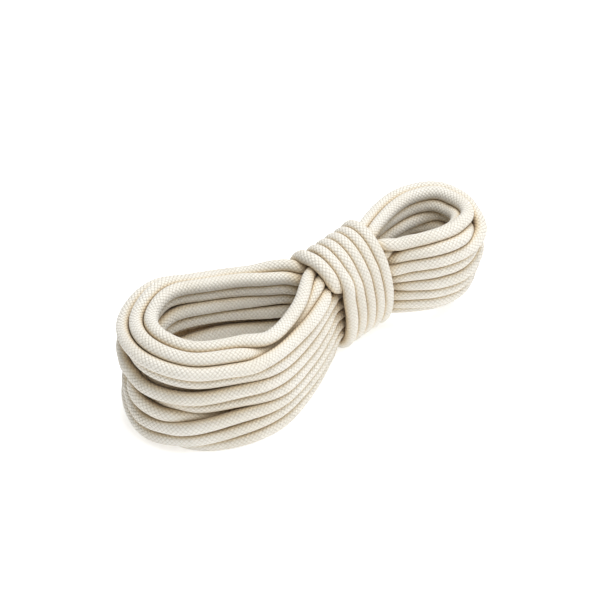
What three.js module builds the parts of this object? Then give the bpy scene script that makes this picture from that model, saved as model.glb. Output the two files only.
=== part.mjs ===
// A coiled dock line: one long braided rope wound into an oval hank, gripped round
// its waist by the last turns of the same rope. Millimetres, +Z up.
// +X runs along the hank from the big near loop to the small far loop, and +Y is the
// side where the turns are stacked lower and wider. The hank lies on its lowest turns at z = 0.
import * as THREE from 'three';

// Driving dimensions
const ROPE_DIAMETER = 8;
const GAP = 0.3;                  // clear space between touching pieces
const WAIST_CENTRE = [30.5, -3, 39.4];
const WAIST_LEAN = 0.17;          // radians that the waist rises towards the far loop
const WAIST_HALF_WIDTH = 16.5;    // half width and half height of the gripped bundle
const WAIST_HALF_HEIGHT = 29;
const WRAP_COUNT = 5;
const WRAP_PITCH = 7;             // the pulled-tight wraps are narrower than the slack rope
const WRAP_THICKNESS = 7.9;       // across the wrap, outwards from the bundle
const CORNER_RADIUS = 7;          // rounding of a bundle's outline
const SECTION_ARC_STEPS = 4;      // facets on each rounded corner
const STATION_STEPS = 4;          // sections between two listed stations
const WRAP_LENGTH = WRAP_COUNT * WRAP_PITCH;
const CROSSING_SWING = 4;         // how far the crossing turn's back end leaves the wraps
const CROSSING_FROM = 0.95;       // radians round the waist from the +Y side over the top
const CROSSING_TO = 2.2;

// Each station of a loop's bundle is [x, y, half thickness, underside z, top z, lean].
// The near loop runs from the waist along the front, round its end and back to the waist.
const NEAR_LOOP = [
  [12.7, -10.5, 6, 18, 57, 0.17],
  [-9, -19, 8.5, 6, 61, 0.1],
  [-32, -31, 9, 0, 69, 0],
  [-54, -37.5, 9, 0, 70, 0],
  [-78, -36, 9.5, 0, 70, 0],
  [-99, -26.5, 10.5, 0, 71, 0],
  [-112, -11, 11, 0, 71, 0],
  [-114.4, 4, 11.5, 0, 71, 0],
  [-108, 18, 12, 2, 71, 0],
  [-93, 28.5, 12.5, 12, 70, 0],
  [-72, 33.9, 13, 20, 70, 0],
  [-49, 31, 12.5, 22, 70, 0],
  [-27, 23.5, 11, 22, 68.5, 0],
  [-9, 13.5, 9, 20, 61, 0.1],
  [12.7, 4.5, 6, 19, 57, 0.17],
];

// The far loop is smaller and its turns are held clear of the ground by the waist.
const FAR_LOOP = [
  [48.3, -10.5, 6.5, 18, 63, 0.17],
  [62, -22, 8, 18, 66, 0.08],
  [84, -33, 8.5, 15, 69, 0],
  [101, -31, 8.5, 14, 71, 0],
  [113, -20, 8.5, 14, 72, 0],
  [117.5, -6, 8.5, 15, 72, 0],
  [113, 9, 8.5, 15, 72, 0],
  [99, 16.5, 8.5, 16, 72, 0],
  [81, 15.5, 8.5, 17, 71, 0],
  [63, 10, 8, 21, 68, 0.08],
  [48.3, 4.5, 6.5, 19, 64, 0.17],
];

// The free end lies on the ground behind the far loop.
const TAIL_ROUTE = [
  [57.5, 12.5, 14],
  [60, 14.5, 10.4],
  [64, 17.3, 7.4],
  [70.5, 21.5, 5.4],
  [78, 26, 4.9],
  [86, 28.8, 4.9],
  [94, 31.6, 4.9],
  [102, 34.4, 4.9],
];
const TAIL_SIDES = 12;
const WHIPPING_LENGTH = 9;
const WHIPPING_THICKNESS = 0.7;
const WHIPPING_FROM_END = 4;
const TIP_LENGTH = 1.6;

const ROPE_COLOUR = '#e6dfd0';
const TWINE_COLOUR = '#f4f2ec';
const TIP_COLOUR = '#cfc4ad';

function makeMaterial(name, colour) {
  const material = new THREE.MeshStandardMaterial({ color: colour, roughness: 0.95, metalness: 0 });
  material.name = name;
  return material;
}

const rope = makeMaterial('braided_rope', ROPE_COLOUR);
const twine = makeMaterial('whipping_twine', TWINE_COLOUR);
const sealed = makeMaterial('sealed_tip', TIP_COLOUR);

// A closed solid through a row of rings of points, each ring with the same count.
function loft(rings) {
  const count = rings[0].length;
  const points = rings.flat();
  const index = [];
  for (let ring = 0; ring < rings.length - 1; ring += 1) {
    for (let side = 0; side < count; side += 1) {
      const next = (side + 1) % count;
      const a = ring * count + side;
      const b = ring * count + next;
      index.push(a, b, b + count, a, b + count, a + count);
    }
  }
  for (const [ring, reversed] of [[0, true], [rings.length - 1, false]]) {
    const centre = new THREE.Vector3();
    rings[ring].forEach((p) => centre.add(p));
    points.push(centre.divideScalar(count));
    const hub = points.length - 1;
    for (let side = 0; side < count; side += 1) {
      const a = ring * count + side;
      const b = ring * count + ((side + 1) % count);
      index.push(hub, reversed ? b : a, reversed ? a : b);
    }
  }
  const geometry = new THREE.BufferGeometry().setFromPoints(points);
  geometry.setIndex(index);
  geometry.computeVertexNormals();
  return geometry;
}

// Smooth values between listed stations, the same rule for every column.
function smoothStations(stations, steps) {
  const last = stations.length - 1;
  const at = (i) => stations[Math.min(Math.max(i, 0), last)];
  const out = [];
  for (let span = 0; span < last; span += 1) {
    for (let step = 0; step < steps; step += 1) {
      const t = step / steps;
      const [before, from, to, after] = [at(span - 1), at(span), at(span + 1), at(span + 2)];
      out.push(from.map((_, c) => catmullRom(before[c], from[c], to[c], after[c], t)));
    }
  }
  out.push([...at(last)]);
  return out;
}

function catmullRom(a, b, c, d, t) {
  const linear = c - a;
  const square = 2 * a - 5 * b + 4 * c - d;
  const cube = 3 * b - a - 3 * c + d;
  return b + 0.5 * (linear * t + square * t * t + cube * t * t * t);
}

// An upright rounded rectangle across the direction in which the bundle runs.
function bundleSection(station, direction) {
  const [x, y, halfWidth, low, high, lean] = station;
  const across = new THREE.Vector2(-direction.y, direction.x);
  const radius = Math.min(CORNER_RADIUS, halfWidth - 1);
  const corners = [
    [halfWidth - radius, low + radius, -Math.PI / 2],
    [halfWidth - radius, high - radius, 0],
    [radius - halfWidth, high - radius, Math.PI / 2],
    [radius - halfWidth, low + radius, Math.PI],
  ];
  const middle = WAIST_CENTRE[2];
  const ring = [];
  for (const [side, height, from] of corners) {
    for (let step = 0; step <= SECTION_ARC_STEPS; step += 1) {
      const angle = from + (step / SECTION_ARC_STEPS) * Math.PI / 2;
      const offset = side + radius * Math.cos(angle);
      const z = Math.max(low, 0, height + radius * Math.sin(angle));
      const leaned = x - (z - middle) * Math.tan(lean);
      ring.push(new THREE.Vector3(leaned + across.x * offset, y + across.y * offset, z));
    }
  }
  return ring;
}

function makeLoop(stations) {
  const fine = smoothStations(stations, STATION_STEPS);
  const rings = fine.map((station, i) => {
    const before = fine[Math.max(i - 1, 0)];
    const after = fine[Math.min(i + 1, fine.length - 1)];
    const direction = new THREE.Vector2(after[0] - before[0], after[1] - before[1]).normalize();
    // The bundle leaves the waist squarely and turns to its own course over the first span.
    const fromEnd = Math.min(i, fine.length - 1 - i) / STATION_STEPS;
    if (fromEnd < 1) {
      const squarely = new THREE.Vector2(Math.sign(direction.x), 0);
      direction.lerpVectors(squarely, direction.clone(), fromEnd ** 2).normalize();
    }
    return bundleSection(station, direction);
  });
  return loft(rings);
}

// Places a point given along and across the waist in the hank's own frame.
function waistPoint(along, side, up) {
  return new THREE.Vector3(
    WAIST_CENTRE[0] + along * Math.cos(WAIST_LEAN) - up * Math.sin(WAIST_LEAN),
    WAIST_CENTRE[1] + side,
    WAIST_CENTRE[2] + along * Math.sin(WAIST_LEAN) + up * Math.cos(WAIST_LEAN),
  );
}

function makeWaistBundle() {
  const sides = 40;
  const rings = [-1, 1].map((end) => {
    const ring = [];
    for (let i = 0; i < sides; i += 1) {
      const angle = (i / sides) * 2 * Math.PI;
      const side = WAIST_HALF_WIDTH * Math.cos(angle);
      const up = WAIST_HALF_HEIGHT * Math.sin(angle);
      ring.push(waistPoint(end * (WRAP_LENGTH / 2 - GAP), side, up));
    }
    return ring;
  });
  return loft(rings);
}

// The oval section of a wrap at one angle round the waist.
function wrapSection(along, angle, sides) {
  const reach = WRAP_THICKNESS / 2 + GAP;
  const normal = new THREE.Vector2(
    Math.cos(angle) * WAIST_HALF_HEIGHT,
    Math.sin(angle) * WAIST_HALF_WIDTH,
  ).normalize();
  const side = WAIST_HALF_WIDTH * Math.cos(angle) + normal.x * reach;
  const up = WAIST_HALF_HEIGHT * Math.sin(angle) + normal.y * reach;
  const ring = [];
  for (let i = 0; i < sides; i += 1) {
    const turn = (i / sides) * 2 * Math.PI;
    const outward = (WRAP_THICKNESS / 2) * Math.sin(turn);
    const sideways = ((WRAP_PITCH - GAP) / 2) * Math.cos(turn);
    ring.push(waistPoint(along + sideways, side + normal.x * outward, up + normal.y * outward));
  }
  return ring;
}

// A wrap is a closed ring, so its last section joins its first.
function makeWrap(number) {
  const steps = 40;
  const sides = 12;
  const along = (number - (WRAP_COUNT + 1) / 2) * WRAP_PITCH;
  const points = [];
  const index = [];
  for (let step = 0; step < steps; step += 1) {
    points.push(...wrapSection(along, (step / steps) * 2 * Math.PI, sides));
    const here = step * sides;
    const there = ((step + 1) % steps) * sides;
    for (let i = 0; i < sides; i += 1) {
      const j = (i + 1) % sides;
      index.push(here + i, there + j, there + i, here + i, here + j, there + j);
    }
  }
  const geometry = new THREE.BufferGeometry().setFromPoints(points);
  geometry.setIndex(index);
  geometry.computeVertexNormals();
  return geometry;
}

// The rope crosses the root of the near loop once before it starts the wraps.
function makeCrossingTurn() {
  const steps = 18;
  const rings = [];
  for (let step = 0; step <= steps; step += 1) {
    const t = step / steps;
    const angle = CROSSING_FROM + (CROSSING_TO - CROSSING_FROM) * t;
    const along = -(WRAP_LENGTH + WRAP_PITCH) / 2 - CROSSING_SWING * (1 - t) ** 2;
    rings.push(wrapSection(along, angle, 12));
  }
  return loft(rings);
}

function sectionShape(radius, sides) {
  const shape = new THREE.Shape();
  for (let i = 0; i < sides; i += 1) {
    const angle = ((i + 0.5) / sides) * 2 * Math.PI;
    const x = radius * Math.cos(angle);
    const y = radius * Math.sin(angle);
    if (i === 0) shape.moveTo(x, y);
    else shape.lineTo(x, y);
  }
  shape.closePath();
  return shape;
}

// A straight tail stretch at the rope's end, measured back from the end of the route.
function tailCurve() {
  return new THREE.CatmullRomCurve3(TAIL_ROUTE.map((p) => new THREE.Vector3(...p)));
}

function makeTail() {
  const options = { steps: 24, extrudePath: tailCurve(), bevelEnabled: false, curveSegments: 1 };
  return new THREE.ExtrudeGeometry(sectionShape(ROPE_DIAMETER / 2, TAIL_SIDES), options);
}

// A band or disc centred on the tail, at a distance from its end; negative is past the end.
function makeTailBand(fromEnd, length, innerRadius, outerRadius) {
  const curve = tailCurve();
  const end = curve.getPointAt(1);
  const direction = curve.getTangentAt(1);
  const profile = [
    new THREE.Vector2(innerRadius, -length / 2),
    new THREE.Vector2(outerRadius, -length / 2),
    new THREE.Vector2(outerRadius, length / 2),
    new THREE.Vector2(innerRadius, length / 2),
  ];
  if (innerRadius > 0) profile.push(profile[0].clone());
  const geometry = new THREE.LatheGeometry(profile, 24);
  const turn = new THREE.Quaternion().setFromUnitVectors(new THREE.Vector3(0, 1, 0), direction);
  geometry.applyQuaternion(turn);
  const centre = end.clone().addScaledVector(direction, -fromEnd);
  geometry.translate(centre.x, centre.y, centre.z);
  return geometry;
}

const part = new THREE.Group();
part.name = 'coiled_dock_line';

function add(name, geometry, material) {
  const mesh = new THREE.Mesh(geometry, material);
  mesh.name = name;
  part.add(mesh);
}

add('near_loop', makeLoop(NEAR_LOOP), rope);
add('far_loop', makeLoop(FAR_LOOP), rope);
add('waist_bundle', makeWaistBundle(), rope);
for (let number = 1; number <= WRAP_COUNT; number += 1) add(`wrap_${number}`, makeWrap(number), rope);
add('crossing_turn', makeCrossingTurn(), rope);
add('tail', makeTail(), rope);
const WHIPPING_CENTRE = WHIPPING_FROM_END + WHIPPING_LENGTH / 2;
const WHIPPING_INNER = ROPE_DIAMETER / 2 + 0.1;
const WHIPPING_OUTER = WHIPPING_INNER + WHIPPING_THICKNESS;
const whipping = makeTailBand(WHIPPING_CENTRE, WHIPPING_LENGTH, WHIPPING_INNER, WHIPPING_OUTER);
add('tail_whipping', whipping, twine);
const TIP_RADIUS = ROPE_DIAMETER / 2 - 0.3;
const TIP_CENTRE = -(GAP + TIP_LENGTH / 2);
add('tail_tip', makeTailBand(TIP_CENTRE, TIP_LENGTH, 0, TIP_RADIUS), sealed);

export default part;
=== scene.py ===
"""A coiled dock line: one braided rope wound into an oval hank and gripped round its waist.

The rope is one centreline from its buried first end to its whipped free end. A loop lays
the turns out, a short relaxation settles them on each other, and one tube follows the result.
Lengths are millimetres until they reach Blender, which works in metres.
"""
import math

import bpy
import numpy as np
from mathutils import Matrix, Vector


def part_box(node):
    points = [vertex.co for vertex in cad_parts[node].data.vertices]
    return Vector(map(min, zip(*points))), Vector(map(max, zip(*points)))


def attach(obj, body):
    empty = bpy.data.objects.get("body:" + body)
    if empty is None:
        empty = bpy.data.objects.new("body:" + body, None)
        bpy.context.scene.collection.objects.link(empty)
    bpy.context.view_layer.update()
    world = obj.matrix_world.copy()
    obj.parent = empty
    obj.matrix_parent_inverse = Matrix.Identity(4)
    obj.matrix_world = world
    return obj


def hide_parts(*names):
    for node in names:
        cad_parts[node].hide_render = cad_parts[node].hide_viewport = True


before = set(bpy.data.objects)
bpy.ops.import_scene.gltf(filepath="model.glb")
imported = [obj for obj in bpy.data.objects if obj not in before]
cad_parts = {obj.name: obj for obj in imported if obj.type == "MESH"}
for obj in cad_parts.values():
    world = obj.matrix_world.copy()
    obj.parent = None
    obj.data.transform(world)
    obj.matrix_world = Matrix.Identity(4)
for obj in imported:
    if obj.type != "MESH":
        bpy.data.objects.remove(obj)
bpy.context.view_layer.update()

MM = 0.001

# The hank's facts, the same as in part.mjs
ROPE_DIAMETER = 8.0
WAIST_CENTRE = np.array([30.5, -3.0, 39.4])
WAIST_LEAN = 0.17
WAIST_HALF_WIDTH = 16.5
WAIST_HALF_HEIGHT = 29.0
WRAP_COUNT = 5
WRAP_PITCH = 7.0
WRAP_LENGTH = WRAP_COUNT * WRAP_PITCH
AXIS_Y = -5.0                     # the loops are laid out about this line along X
TAIL_ROUTE = [
    (57.5, 12.5, 14.0), (60.0, 14.5, 10.4), (64.0, 17.3, 7.4), (70.5, 21.5, 5.4),
    (78.0, 26.0, 4.9), (86.0, 28.8, 4.9), (94.0, 31.6, 4.9), (102.0, 34.4, 4.9),
]

# The rope is wound in two layers: the outer one from the top down, then the inner one from the
# bottom up. Each near turn has its place on the front, (y, z) at NEAR_FRONT_X and at
# NEAR_CORNER_X, then at the near end, (x, z), and on the back, (y, z).
NEAR_ROOT_X = -24.0
NEAR_FRONT_X = -54.0
NEAR_CORNER_X = -80.0
NEAR_BACK_X = -52.0
NEAR_BACK_ROOT_X = -22.0
NEAR_BACK_SAG = 3.0               # the back strands dip before they climb into the waist
NEAR_TURNS = [
    (-40.5, 50.8, -41.5, 55.5, -118.8, 59.0, 39.5, 58.0),
    (-41.5, 43.0, -38.5, 47.5, -115.0, 50.5, 34.0, 54.0),
    (-42.8, 36.0, -41.5, 39.5, -118.0, 38.5, 41.0, 49.0),
    (-43.3, 28.0, -37.5, 30.0, -112.5, 31.0, 39.5, 39.5),
    (-43.3, 20.0, -41.5, 22.0, -119.5, 17.0, 33.5, 43.0),
    (-42.5, 12.0, -41.0, 12.5, -118.0, 7.0, 36.5, 25.0),
    (-43.0, 4.0, -40.5, 4.0, -110.5, 4.5, 31.0, 35.0),
    (-35.0, 4.0, -32.5, 4.0, -103.0, 4.5, 25.0, 21.5),
    (-35.0, 12.0, -33.0, 12.0, -111.0, 13.0, 24.0, 28.5),
    (-35.3, 20.0, -34.0, 20.0, -119.0, 27.5, 25.5, 40.5),
    (-35.0, 30.0, -31.0, 38.5, -110.5, 41.0, 23.0, 49.0),
    (-33.5, 39.0, -32.5, 51.0, -106.5, 53.0, 25.5, 57.0),
    (-33.2, 50.0, -37.0, 61.0, -112.5, 64.5, 31.0, 63.0),
    (-34.0, 58.5, -29.3, 63.5, -104.5, 66.5, 23.0, 64.5),
]
# Each far turn's place on the back and on the front, (y, z) at FAR_SIDE_X.
FAR_ROOT_X = 76.0
FAR_SIDE_X = 93.0
FAR_TURNS = [
    (17.5, 65.0, -37.0, 54.5), (17.5, 58.0, -36.0, 46.8), (17.5, 51.0, -37.5, 39.2),
    (18.0, 44.0, -35.5, 31.6), (17.5, 37.0, -33.5, 24.2), (18.0, 30.0, -27.5, 18.0),
    (15.0, 23.0, -19.5, 18.0), (10.0, 18.5, -25.5, 26.0), (9.0, 25.5, -27.5, 34.0),
    (10.5, 32.3, -28.5, 41.8), (8.5, 39.0, -29.0, 49.5), (10.5, 46.0, -28.0, 57.0),
    (8.5, 53.0, -35.5, 62.0), (10.5, 67.0, -31.0, 68.0), (10.0, 60.5, -25.5, 62.5),
]
# Where each turn's strands lie at the ends of the waist: (row from the bottom, sideways).
WAIST_ROW_HEIGHT = 7.0
FRONT_NEAR_SLOTS = [
    (6, -10.2), (5, -11.3), (4, -11.5), (3, -11.5), (2, -11.5), (1, -10.8), (0, -7.5),
    (1, -3.7), (2, -3.7), (3, -3.7), (4, -3.7), (5, -3.7), (7, -6.5), (7, 0.8),
]
FRONT_FAR_SLOTS = [
    (4.5, -11.5), (3.6, -11.5), (2.7, -11.5), (1.8, -11.3), (0.9, -10.5), (0, -7.5), (0, -0.5),
    (1, -3.7), (2, -4), (3, -4), (4, -4), (5, -4), (5.4, -11.2), (6.2, -9.6), (6, -2.4),
]
BACK_NEAR_SLOTS = [
    (7, 7.0), (6, 10.2), (5, 11.3), (4, 11.5), (3, 11.5), (2, 11.5), (1, 10.8), (0, 6.5),
    (0, -0.5), (1, 3.7), (2, 3.7), (3, 3.7), (4, 3.7), (7, 7.6), (5.7, 3.9),
]
BACK_FAR_SLOTS = [
    (7, 5.6), (6, 10.2), (5, 11.3), (4, 11.5), (3, 11.5), (2, 11.3), (1, 10.5), (0, 6.5),
    (1, 3.7), (2, 3.7), (3, 3.7), (4, 3.7), (5, 3.7), (7, -2.0), (6, 4.0),
]

# Settling
PARTICLE_STEP = 4.0
SETTLE_STEPS = 260
FREE_STEPS = 20                   # the last steps only part the strands
TIGHTEST_BEND = 15.0              # millimetres of radius that the relaxation aims to keep
SHARPEST = PARTICLE_STEP ** 2 / TIGHTEST_BEND
POINTS_IN_A_TURN = 24             # points laid out for one turn of both loops
OUTER_TURNS = 7.5                 # turns in the outer layer
LAST_OUTER_TURNS = 2.3            # the last turns, which lie on top of both layers
WRAP_HOLD, OUTER_HOLD, INNER_HOLD = 0.2, 0.06, 0.02         # pull back to the laid route
WRAP_WEIGHT, OUTER_WEIGHT, INNER_WEIGHT = 5.0, 3.0, 1.0     # share of a push that others take
WAIST_SQUEEZE = 0.90              # the rope is thinner where the wraps grip it
SQUEEZE_REACH = 38.0              # and swells again over this length beyond them
WRAP_SQUEEZE = 0.92               # and where it is pulled tight round the waist
CROSSING_POINTS = 8               # but not on the crossing turn, which is the wraps' first points

# The rope's surface
RING_STEP = 1.35
RING_SIDES = 24
BRAID_STRANDS = 9                 # strands each way round the rope
BRAID_LAY = 2.6                   # length of one diamond of the braid
BRAID_RELIEF = 0.6                # how far the stitches stand out
YARNS_IN_A_STRAND = 3

# The whipping and the sealed end
WHIPPING_TURNS = 11
WHIPPING_LENGTH = 9.0
TWINE_RADIUS = 0.44
TIP_LENGTH = 2.2
END_STEPS = 12                    # steps of the rope that give the end's direction


# ---------------------------------------------------------------- camera

VIEW_AZIMUTH = -40.0
VIEW_ELEVATION = 36.0
VIEW_DISTANCE = 1.5
VIEW_TARGET = Vector((-0.0005, 0.0019, 0.0404))
VIEW_WIDTH = 0.349                # metres of the scene across the picture at the target


def add_camera():
    azimuth, elevation = math.radians(VIEW_AZIMUTH), math.radians(VIEW_ELEVATION)
    away = Vector((
        math.sin(azimuth) * math.cos(elevation),
        -math.cos(azimuth) * math.cos(elevation),
        math.sin(elevation),
    ))
    data = bpy.data.cameras.new("camera")
    data.sensor_width = 36.0
    data.lens = data.sensor_width * VIEW_DISTANCE / VIEW_WIDTH
    camera = bpy.data.objects.new("camera", data)
    camera.location = VIEW_TARGET + away * VIEW_DISTANCE
    camera.rotation_euler = (-away).to_track_quat("-Z", "Y").to_euler()
    bpy.context.collection.objects.link(camera)
    bpy.context.scene.camera = camera


add_camera()


# ---------------------------------------------------------------- the rope's route

def waist_point(along, side, up):
    """A point given along, across and up the leaning waist, in the row frame."""
    return (
        WAIST_CENTRE[0] + along * math.cos(WAIST_LEAN) - up * math.sin(WAIST_LEAN),
        WAIST_CENTRE[1] + side,
        WAIST_CENTRE[2] + along * math.sin(WAIST_LEAN) + up * math.cos(WAIST_LEAN),
    )


def mix(a, b, t):
    return a + (b - a) * t


def waist_slot(along, slot):
    row, sideways = slot
    return waist_point(along, sideways, (row - 3.5) * WAIST_ROW_HEIGHT)


def near_points(number):
    """Out of the waist's front, round the near loop and back to the waist."""
    y_front, z_front, y_low, z_low, x_near, z_near, y_back, z_back = NEAR_TURNS[number]
    half = WRAP_LENGTH / 2
    front = waist_slot(-half, FRONT_NEAR_SLOTS[number])
    back = waist_slot(-half, BACK_NEAR_SLOTS[number + 1])
    root_x = mix(front[0], NEAR_ROOT_X, 0.42)
    round_x = mix(NEAR_CORNER_X, x_near, 0.70)
    back_root_x = mix(back[0], NEAR_BACK_ROOT_X, 0.42)
    return [
        front,
        (root_x, mix(front[1], y_front, 0.30), mix(front[2], z_front, 0.40)),
        (NEAR_ROOT_X, mix(front[1], y_front, 0.67), mix(front[2], z_front, 0.85)),
        (NEAR_FRONT_X, y_front, z_front),
        (NEAR_CORNER_X, y_low, z_low),
        (round_x, mix(y_low, AXIS_Y, 0.36), mix(z_low, z_near, 0.5)),
        (x_near, -1, z_near),
        (round_x, mix(y_back, AXIS_Y, 0.22), mix(z_back, z_near, 0.42)),
        (NEAR_CORNER_X, y_back * 1.03, min(mix(27, z_back, 1.18), 69.5)),
        (NEAR_BACK_X, mix(back[1], y_back, 0.93), z_back),
        (NEAR_BACK_ROOT_X, mix(back[1], y_back, 0.60), mix(back[2], z_back, 0.86) - NEAR_BACK_SAG),
        (back_root_x, mix(back[1], y_back, 0.20), mix(back[2], z_back, 0.48)),
    ]


def far_points(number):
    """Through the waist's back, round the far loop and through the waist's front."""
    y_back, z_back, y_front, z_front = FAR_TURNS[number]
    half = WRAP_LENGTH / 2
    back = waist_slot(half, BACK_FAR_SLOTS[number])
    front = waist_slot(half, FRONT_FAR_SLOTS[number])
    spread = (y_back - y_front) / 2
    x_far = FAR_SIDE_X + spread * 0.9
    round_x = mix(FAR_SIDE_X, x_far, 0.78)
    return [
        waist_slot(-half, BACK_NEAR_SLOTS[number]),
        back,
        (mix(back[0], FAR_ROOT_X - 2, 0.48), mix(back[1], y_back, 0.46), mix(back[2], z_back, 0.5)),
        (FAR_ROOT_X, mix(back[1], y_back, 0.88), mix(back[2], z_back, 0.95)),
        (FAR_SIDE_X, y_back, z_back),
        (round_x, mix(y_back, -7, 0.38), z_back + 0.5),
        (x_far, -8, mix(z_back, z_front, 0.1)),
        (round_x, mix(y_front, -7, 0.32), mix(z_back, z_front, 0.55)),
        (FAR_SIDE_X, y_front, z_front),
        (FAR_ROOT_X, mix(front[1], y_front, 0.92), mix(front[2], z_front, 0.97)),
        (mix(front[0], FAR_ROOT_X, 0.50), mix(front[1], y_front, 0.50), mix(front[2], z_front, 0.55)),
        front,
    ]


def wrap_points():
    """From the tuck at the front, over the near loop's root, then round the waist and off it."""
    half_width = WAIST_HALF_WIDTH + 0.2 + ROPE_DIAMETER * 0.47
    half_height = WAIST_HALF_HEIGHT + 0.2 + ROPE_DIAMETER * 0.47
    first_along = -WRAP_LENGTH / 2 + WRAP_PITCH / 2
    last_along = WRAP_LENGTH / 2 - 2.3

    def round_waist(along, degrees, proud=0.0):
        angle = math.radians(degrees)
        side = (half_width + proud) * math.cos(angle)
        up = (half_height + proud) * math.sin(angle)
        return waist_point(along, side, up)

    points = [
        waist_point(-6, -12.5, 13.0),
        waist_point(-14, -14.2, 15.5),
    ]
    for t in np.linspace(0, 1, 9):
        start = mix(-WRAP_LENGTH / 2 + 0.3, first_along, max(0, (t - 0.45) / 0.55))
        swing = 4.2 * math.sin(math.pi * min(1, t / 0.9))
        points.append(round_waist(start - swing, mix(139, -90, t), 0.3))
    steps = 16
    count = int(4.5 * steps)
    for i in range(1, count + 1):
        along = mix(first_along, last_along, i / count)
        points.append(round_waist(along, -90 - 360 * i / steps))
    for t in np.linspace(0, 1, 7)[1:]:
        points.append(round_waist(last_along + 6.5 * t * t, 90 - 132 * t, 0.5))
    return points


def smooth_line(points, step):
    """A centripetal Catmull-Rom line through the points, in even steps, with its nearest points."""
    points = np.asarray(points, float)
    padded = np.vstack([2 * points[0] - points[1], points, 2 * points[-1] - points[-2]])
    fraction = np.linspace(0, 1, 12, endpoint=False)[:, None]
    fine, near = [], []
    for i in range(1, len(padded) - 2):
        a, b, c, d = padded[i - 1:i + 3]
        ta = 0.0
        tb = ta + math.sqrt(np.linalg.norm(b - a))
        tc = tb + math.sqrt(np.linalg.norm(c - b))
        td = tc + math.sqrt(np.linalg.norm(d - c))
        t = tb + (tc - tb) * fraction
        ab = (tb - t) / (tb - ta) * a + (t - ta) / (tb - ta) * b
        bc = (tc - t) / (tc - tb) * b + (t - tb) / (tc - tb) * c
        cd = (td - t) / (td - tc) * c + (t - tc) / (td - tc) * d
        abc = (tc - t) / (tc - ta) * ab + (t - ta) / (tc - ta) * bc
        bcd = (td - t) / (td - tb) * bc + (t - tb) / (td - tb) * cd
        fine.append((tc - t) / (tc - tb) * abc + (t - tb) / (tc - tb) * bcd)
        near += [i - 1] * len(fraction)
    fine = np.vstack(fine + [points[-1:]])
    near.append(len(points) - 1)
    return even_steps(fine, step, np.asarray(near, float))


def even_steps(line, step, *values):
    """The line, and any values along it, resampled at equal distances."""
    run = np.concatenate([[0], np.cumsum(np.linalg.norm(np.diff(line, axis=0), axis=1))])
    at = np.linspace(0, run[-1], int(round(run[-1] / step)) + 1)
    out = [np.stack([np.interp(at, run, line[:, axis]) for axis in range(3)], axis=1)]
    out += [np.interp(at, run, value) for value in values]
    return out


def lay_out_rope():
    """The whole route before settling, and the first point of the wraps and of the tail."""
    points = far_points(0)[1:]
    for number in range(len(NEAR_TURNS)):
        points += near_points(number) + far_points(number + 1)
    points.pop()                  # the last turn dives under the wraps instead of leaving the waist
    first_wrap = len(points)
    points += wrap_points()
    first_tail = len(points)
    points += TAIL_ROUTE
    return points, first_wrap, first_tail


# ---------------------------------------------------------------- settling

def close_pairs(points, reach, skip):
    """Index pairs closer than reach that are more than skip apart along the rope."""
    cell = np.floor(points / reach).astype(int)
    cell -= cell.min(axis=0)
    size = cell.max(axis=0) + 2
    key = (cell[:, 0] * size[1] + cell[:, 1]) * size[2] + cell[:, 2]
    order = np.argsort(key, kind="stable")
    ordered = key[order]
    every = np.arange(len(points))
    first, second = [], []
    for dx in (-1, 0, 1):
        for dy in (-1, 0, 1):
            for dz in (-1, 0, 1):
                wanted = key + (dx * size[1] + dy) * size[2] + dz
                low = np.searchsorted(ordered, wanted, "left")
                high = np.searchsorted(ordered, wanted, "right")
                for n in range(int((high - low).max())):
                    some = high - low > n
                    a, b = every[some], order[low[some] + n]
                    apart = b > a + skip
                    first.append(a[apart])
                    second.append(b[apart])
    first, second = np.concatenate(first), np.concatenate(second)
    near = np.linalg.norm(points[first] - points[second], axis=1) < reach
    return first[near], second[near]


def soften(field, rounds):
    """Evens a change out along the rope without moving what the change is added to."""
    for _ in range(rounds):
        field[1:-1] = 0.25 * field[:-2] + 0.5 * field[1:-1] + 0.25 * field[2:]
    return field


def settle(laid, hold, thickness, weight):
    """Pushes strands apart until they only touch, above the floor and near their lanes."""
    line = laid.copy()
    skip = int(ROPE_DIAMETER * 1.7 / PARTICLE_STEP) + 1
    for step in range(SETTLE_STEPS):
        if step % 8 == 0:
            first, second = close_pairs(line, ROPE_DIAMETER * 1.5, skip)
        change = (line - laid) * (1 - hold)[:, None]
        if step < SETTLE_STEPS - FREE_STEPS:
            change = soften(change, 4)
        line = laid + change
        bend = line[:-2] - 2 * line[1:-1] + line[2:]
        sharpness = np.linalg.norm(bend, axis=1)
        excess = np.clip(1 - SHARPEST / np.maximum(sharpness, 1e-6), 0, 1)
        line[1:-1] += 0.5 * bend * excess[:, None]
        for _ in range(3):
            gap = line[second] - line[first]
            distance = np.linalg.norm(gap, axis=1)
            wanted = (thickness[first] + thickness[second]) / 2
            touching = distance < wanted
            a, b = first[touching], second[touching]
            push = gap[touching] / np.maximum(distance[touching], 1e-6)[:, None]
            push *= ((wanted - distance)[touching] * 0.9)[:, None]
            share = (weight[b] / (weight[a] + weight[b]))[:, None]
            move = np.zeros_like(line)
            count = np.zeros(len(line))
            np.add.at(move, a, -push * share)
            np.add.at(move, b, push * (1 - share))
            np.add.at(count, a, 1)
            np.add.at(count, b, 1)
            line += move / np.maximum(1, count * 0.7)[:, None]
        line[:, 2] = np.maximum(line[:, 2], thickness / 2)
    return line


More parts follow.
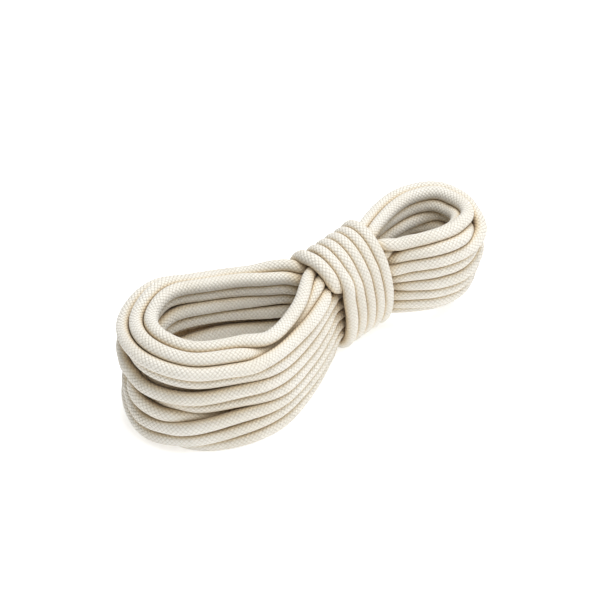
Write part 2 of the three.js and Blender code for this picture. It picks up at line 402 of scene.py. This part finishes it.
def make_centreline():
    """The settled centreline and the rope's thickness along it."""
    points, first_wrap, first_tail = lay_out_rope()
    laid, near = smooth_line(points, PARTICLE_STEP)
    wrapping = (near >= first_wrap) & (near < first_tail)
    after_turns = near >= first_wrap
    along = (laid - WAIST_CENTRE) @ np.array([math.cos(WAIST_LEAN), 0, math.sin(WAIST_LEAN)])
    release = np.clip((np.abs(along) - WRAP_LENGTH / 2) / SQUEEZE_REACH, 0, 1)
    release = release * release * (3 - 2 * release)
    thickness = ROPE_DIAMETER * mix(WAIST_SQUEEZE, 1, release)
    thickness[after_turns] = ROPE_DIAMETER
    thickness[wrapping & (near > first_wrap + CROSSING_POINTS)] = ROPE_DIAMETER * WRAP_SQUEEZE
    thickness = soften(thickness, 6)
    outer = near < OUTER_TURNS * POINTS_IN_A_TURN
    outer |= near > first_wrap - LAST_OUTER_TURNS * POINTS_IN_A_TURN
    hold = np.where(after_turns, WRAP_HOLD, np.where(outer, OUTER_HOLD, INNER_HOLD))
    weight = np.where(after_turns, WRAP_WEIGHT, np.where(outer, OUTER_WEIGHT, INNER_WEIGHT))
    line = settle(laid, hold, thickness, weight)
    return line, thickness


# ---------------------------------------------------------------- the rope's surface

def steady_frames(line):
    """Tangent and two normals along the line that don't twist about it."""
    tangent = np.gradient(line, axis=0)
    tangent /= np.linalg.norm(tangent, axis=1, keepdims=True)
    normal = np.zeros_like(line)
    start = np.cross(tangent[0], [0.0, 0.0, 1.0])
    normal[0] = start / np.linalg.norm(start)
    for i in range(1, len(line)):
        carried = normal[i - 1] - tangent[i] * (normal[i - 1] @ tangent[i])
        normal[i] = carried / np.linalg.norm(carried)
    return tangent, normal, np.cross(tangent, normal)


def make_tube(name, line, radius, sides):
    """A closed tube with UVs: across is once round, up is millimetres along."""
    tangent, normal, binormal = steady_frames(line)
    angle = np.arange(sides) / sides * 2 * math.pi
    ring = np.cos(angle)[None, :, None] * normal[:, None, :]
    ring = ring + np.sin(angle)[None, :, None] * binormal[:, None, :]
    rings = line[:, None, :] + ring * radius[:, None, None]
    count = len(line)
    verts = np.vstack([rings.reshape(-1, 3), line[:1], line[-1:]]) * MM
    i = np.arange(count - 1)[:, None] * sides
    j = np.arange(sides)[None, :]
    k = (j + 1) % sides
    quads = np.stack([i + j, i + k, i + sides + k, i + sides + j], axis=-1).reshape(-1, 4)
    j, k = j[0], k[0]
    last = (count - 1) * sides
    start_cap = np.stack([np.full(sides, count * sides), k, j], axis=-1)
    end_cap = np.stack([np.full(sides, count * sides + 1), last + j, last + k], axis=-1)
    mesh = bpy.data.meshes.new(name)
    mesh.from_pydata(verts.tolist(), [], quads.tolist() + start_cap.tolist() + end_cap.tolist())

    run = np.concatenate([[0], np.cumsum(np.linalg.norm(np.diff(line, axis=0), axis=1))])
    round_low = np.tile(j / sides, count - 1)
    round_high = np.tile((j + 1) / sides, count - 1)
    low = np.repeat(run[:-1], sides)
    high = np.repeat(run[1:], sides)
    quad_uv = np.stack([
        np.stack([round_low, low], -1), np.stack([round_high, low], -1),
        np.stack([round_high, high], -1), np.stack([round_low, high], -1),
    ], axis=1).reshape(-1, 2)
    cap_uv = np.zeros((sides * 6, 2))
    layer = mesh.uv_layers.new(name="along_rope")
    layer.data.foreach_set("uv", np.vstack([quad_uv, cap_uv]).astype(np.float32).ravel())
    mesh.shade_smooth()
    mesh.update()
    piece = bpy.data.objects.new(name, mesh)
    bpy.context.collection.objects.link(piece)
    return piece


centre, thickness = make_centreline()
surface_line, surface_thickness = even_steps(centre, RING_STEP, thickness)
surface_line = soften(surface_line, 6)
rope = make_tube("rope", surface_line, surface_thickness / 2, RING_SIDES)
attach(rope, "root")
WRAP_NODES = [f"wrap_{number}" for number in range(1, WRAP_COUNT + 1)]
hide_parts("near_loop", "far_loop", "waist_bundle", "crossing_turn", "tail", *WRAP_NODES)


# ---------------------------------------------------------------- the whipped end

def make_whipping(line):
    """Turns of twine round the rope's free end, over the CAD band."""
    low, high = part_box("tail_whipping")
    middle = (np.array(low) + np.array(high)) / 2 / MM
    end, before = line[-1], line[-END_STEPS]
    direction = (end - before) / np.linalg.norm(end - before)
    side = np.cross(direction, [0, 0, 1.0])
    side /= np.linalg.norm(side)
    up = np.cross(side, direction)
    radius = ROPE_DIAMETER / 2 + 0.15
    t = np.linspace(0, 1, WHIPPING_TURNS * 20)
    angle = t * WHIPPING_TURNS * 2 * math.pi
    route = middle + direction * ((t - 0.5) * WHIPPING_LENGTH)[:, None]
    route = route + radius * (np.cos(angle)[:, None] * side + np.sin(angle)[:, None] * up)
    return make_tube("tail_twine", route, np.full(len(route), TWINE_RADIUS), 8)


def make_tip(line):
    """The fibres at the end, sealed into a low dome."""
    end, before = line[-1], line[-END_STEPS]
    direction = (end - before) / np.linalg.norm(end - before)
    steps = np.linspace(0, 1, 9)
    route = end + direction * (steps * TIP_LENGTH - 0.1)[:, None]
    radius = (ROPE_DIAMETER / 2 - 0.15) * np.sqrt(np.clip(1 - steps ** 3, 0.02, 1))
    return make_tube("tail_seal", route, radius, 24)


twine = make_whipping(surface_line)
tip = make_tip(surface_line)
END_PIECES = [(twine, "tail_whipping", "whipping_twine"), (tip, "tail_tip", "sealed_tip")]
for piece, node, finish in END_PIECES:
    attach(piece, "root")
    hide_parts(node)


# ---------------------------------------------------------------- materials

class Nodes:
    """Short calls for a material's node tree."""

    def __init__(self, name):
        self.material = bpy.data.materials.new(name)
        self.material.use_nodes = True
        self.tree = self.material.node_tree
        self.shader = self.tree.nodes["Principled BSDF"]

    def add(self, kind, **values):
        node = self.tree.nodes.new(kind)
        for key, value in values.items():
            setattr(node, key, value)
        return node

    def link(self, source, target):
        self.tree.links.new(source, target)

    def maths(self, operation, a, b=None, c=None):
        node = self.add("ShaderNodeMath", operation=operation)
        for socket, value in zip(node.inputs, (a, b, c)):
            if value is None:
                continue
            if isinstance(value, (int, float)):
                socket.default_value = value
            else:
                self.link(value, socket)
        return node.outputs[0]

    def ramp(self, factor, stops):
        node = self.add("ShaderNodeValToRGB")
        while len(node.color_ramp.elements) < len(stops):
            node.color_ramp.elements.new(0.5)
        for element, (place, colour) in zip(node.color_ramp.elements, stops):
            element.position = place
            element.color = (*colour, 1)
        self.link(factor, node.inputs["Fac"])
        return node.outputs["Color"]

    def multiply(self, a, b):
        node = self.add("ShaderNodeVectorMath", operation="MULTIPLY")
        self.link(a, node.inputs[0])
        self.link(b, node.inputs[1])
        return node.outputs["Vector"]

    def noise(self, vector, scale, detail=2.0):
        node = self.add("ShaderNodeTexNoise")
        node.inputs["Scale"].default_value = scale
        node.inputs["Detail"].default_value = detail
        self.link(vector, node.inputs["Vector"])
        return node.outputs["Fac"]


def bump_across(nodes, fraction, power=0.5):
    """1 in the middle of a strand and 0 at its edges."""
    centred = nodes.maths("SUBTRACT", nodes.maths("MULTIPLY", fraction, 2.0), 1.0)
    round_top = nodes.maths("SUBTRACT", 1.0, nodes.maths("MULTIPLY", centred, centred))
    return nodes.maths("POWER", nodes.maths("MAXIMUM", round_top, 0.0), power)


def make_rope_material():
    """Undyed braided cotton, from the tube's UVs, with painted shade in the braid's dips and between
    the turns.
    """
    nodes = Nodes("braided_cotton")
    uv = nodes.add("ShaderNodeUVMap", uv_map="along_rope").outputs["UV"]
    split = nodes.add("ShaderNodeSeparateXYZ")
    nodes.link(uv, split.inputs[0])
    around, along = split.outputs["X"], split.outputs["Y"]

    # Two families of strands run opposite ways round the rope and pass over and under each other.
    turned = nodes.maths("MULTIPLY", around, float(BRAID_STRANDS))
    lay = nodes.maths("DIVIDE", along, BRAID_LAY)
    one = nodes.maths("ADD", turned, lay)
    other = nodes.maths("ADD", nodes.maths("SUBTRACT", turned, lay), 4000.0)
    one_part, other_part = nodes.maths("FRACT", one), nodes.maths("FRACT", other)
    crossing = nodes.maths("ADD", nodes.maths("FLOOR", one), nodes.maths("FLOOR", other))
    over = nodes.maths("GREATER_THAN", nodes.maths("MODULO", crossing, 2.0), 0.5)
    under = nodes.maths("SUBTRACT", 1.0, over)

    def strand(across, length):
        ridge = nodes.maths("MULTIPLY_ADD", bump_across(nodes, length, 0.5), 0.55, 0.45)
        return nodes.maths("MULTIPLY", bump_across(nodes, across, 0.6), ridge)

    one_height = strand(one_part, other_part)
    other_height = strand(other_part, one_part)

    def upper(of_one, of_other):
        kept = nodes.maths("MULTIPLY", of_one, over)
        return nodes.maths("ADD", kept, nodes.maths("MULTIPLY", of_other, under))

    # Each strand is a few yarns laid side by side.
    height = upper(one_height, other_height)
    across = nodes.maths("MULTIPLY", upper(one_part, other_part), YARNS_IN_A_STRAND * math.pi)
    yarn = nodes.maths("ABSOLUTE", nodes.maths("SINE", across))
    height = nodes.maths("ADD", height, nodes.maths("MULTIPLY", yarn, 0.16))
    place = nodes.add("ShaderNodeTexCoord").outputs["Object"]
    fuzz = nodes.noise(place, 2600.0, 3.0)
    height = nodes.maths("ADD", height, nodes.maths("MULTIPLY", fuzz, 0.34))

    bump = nodes.add("ShaderNodeBump")
    bump.inputs["Strength"].default_value = 1.0
    bump.inputs["Distance"].default_value = BRAID_RELIEF * MM
    nodes.link(height, bump.inputs["Height"])
    nodes.link(bump.outputs["Normal"], nodes.shader.inputs["Normal"])

    # The colour carries painted shade: darker and warmer where the strands dip, and darker and
    # browner deep between the turns, from an ambient occlusion node. The slow changes of tone along
    # the rope are the cotton's own.
    # painted shade in the braid's dips: low strand height gives a darker, warmer colour
    cotton_and_dip_shade = nodes.ramp(height, [
        (0.2, (0.66, 0.58, 0.46)), (0.6, (0.79, 0.74, 0.64)), (1.0, (0.86, 0.83, 0.76)),
    ])
    patches = nodes.noise(place, 38.0, 4.0)
    tone = nodes.ramp(patches, [(0.3, (0.93, 0.91, 0.87)), (0.7, (1.0, 1.0, 1.0))])
    # painted shade: an ambient occlusion node darkens and browns the colour where nearby turns close
    # the rope in
    open_air = nodes.add("ShaderNodeAmbientOcclusion", samples=8, only_local=True)
    open_air.inputs["Distance"].default_value = 0.016
    painted_crevice_shade = nodes.ramp(open_air.outputs["AO"], [
        (0.02, (0.26, 0.16, 0.08)), (0.24, (0.68, 0.52, 0.33)),
        (0.52, (0.96, 0.86, 0.69)), (0.9, (1, 1, 1)),
    ])
    cotton_with_painted_shade = nodes.multiply(nodes.multiply(cotton_and_dip_shade, tone), painted_crevice_shade)
    nodes.link(cotton_with_painted_shade, nodes.shader.inputs["Base Color"])
    nodes.shader.inputs["Roughness"].default_value = 0.92
    nodes.shader.inputs["Specular IOR Level"].default_value = 0.2
    nodes.shader.inputs["Sheen Weight"].default_value = 0.25
    nodes.shader.inputs["Sheen Roughness"].default_value = 0.6
    return nodes.material


def make_plain_material(name, colour, roughness, grain):
    """One colour with a fine mottle a little darker than it."""
    nodes = Nodes(name)
    place = nodes.add("ShaderNodeTexCoord").outputs["Object"]
    darker = tuple(c * 0.88 for c in colour)
    shade = nodes.ramp(nodes.noise(place, grain), [(0.3, darker), (0.7, colour)])
    nodes.link(shade, nodes.shader.inputs["Base Color"])
    nodes.shader.inputs["Roughness"].default_value = roughness
    return nodes.material


rope.data.materials.append(make_rope_material())
twine.data.materials.append(make_plain_material("waxed_twine", (0.74, 0.72, 0.66), 0.6, 900.0))
tip.data.materials.append(make_plain_material("sealed_fibre", (0.62, 0.53, 0.38), 0.45, 500.0))


# ---------------------------------------------------------------- the setting

def make_floor():
    half = 3.0
    mesh = bpy.data.meshes.new("floor")
    corners = [(-half, -half, 0), (half, -half, 0), (half, half, 0), (-half, half, 0)]
    mesh.from_pydata(corners, [], [(0, 1, 2, 3)])
    floor = bpy.data.objects.new("floor", mesh)
    floor.location.z = -0.0002
    bpy.context.collection.objects.link(floor)
    nodes = Nodes("floor_white")
    nodes.shader.inputs["Base Color"].default_value = (0.95, 0.95, 0.95, 1)
    nodes.shader.inputs["Emission Color"].default_value = (1, 1, 1, 1)
    nodes.shader.inputs["Emission Strength"].default_value = 0.43
    nodes.shader.inputs["Roughness"].default_value = 0.9
    mesh.materials.append(nodes.material)


STUDIO_LIGHTS = [                 # name, place in metres, watts
    ("key", (0.3, 0.1, 1.35), 13),
    ("fill", (1.0, -0.8, 0.9), 2.5),
    ("front", (-0.1, -0.7, 1.25), 7),
]
LIGHT_SIZE = 0.8
LIGHT_TARGET = Vector((0, 0, 0.03))
SKY_STRENGTH = 0.46


def add_light(name, place, power):
    data = bpy.data.lights.new(name, "AREA")
    data.shape = "SQUARE"
    data.size = LIGHT_SIZE
    data.energy = power
    light = bpy.data.objects.new(name, data)
    light.location = place
    light.rotation_euler = (LIGHT_TARGET - Vector(place)).to_track_quat("-Z", "Y").to_euler()
    bpy.context.collection.objects.link(light)


def light_the_scene():
    world = bpy.data.worlds.new("studio")
    world.use_nodes = True
    sky = world.node_tree.nodes["Background"]
    sky.inputs["Color"].default_value = (1, 1, 1, 1)
    sky.inputs["Strength"].default_value = SKY_STRENGTH
    bpy.context.scene.world = world
    for name, place, power in STUDIO_LIGHTS:
        add_light(name, place, power)


make_floor()
light_the_scene()
bpy.context.scene.view_settings.view_transform = "Standard"
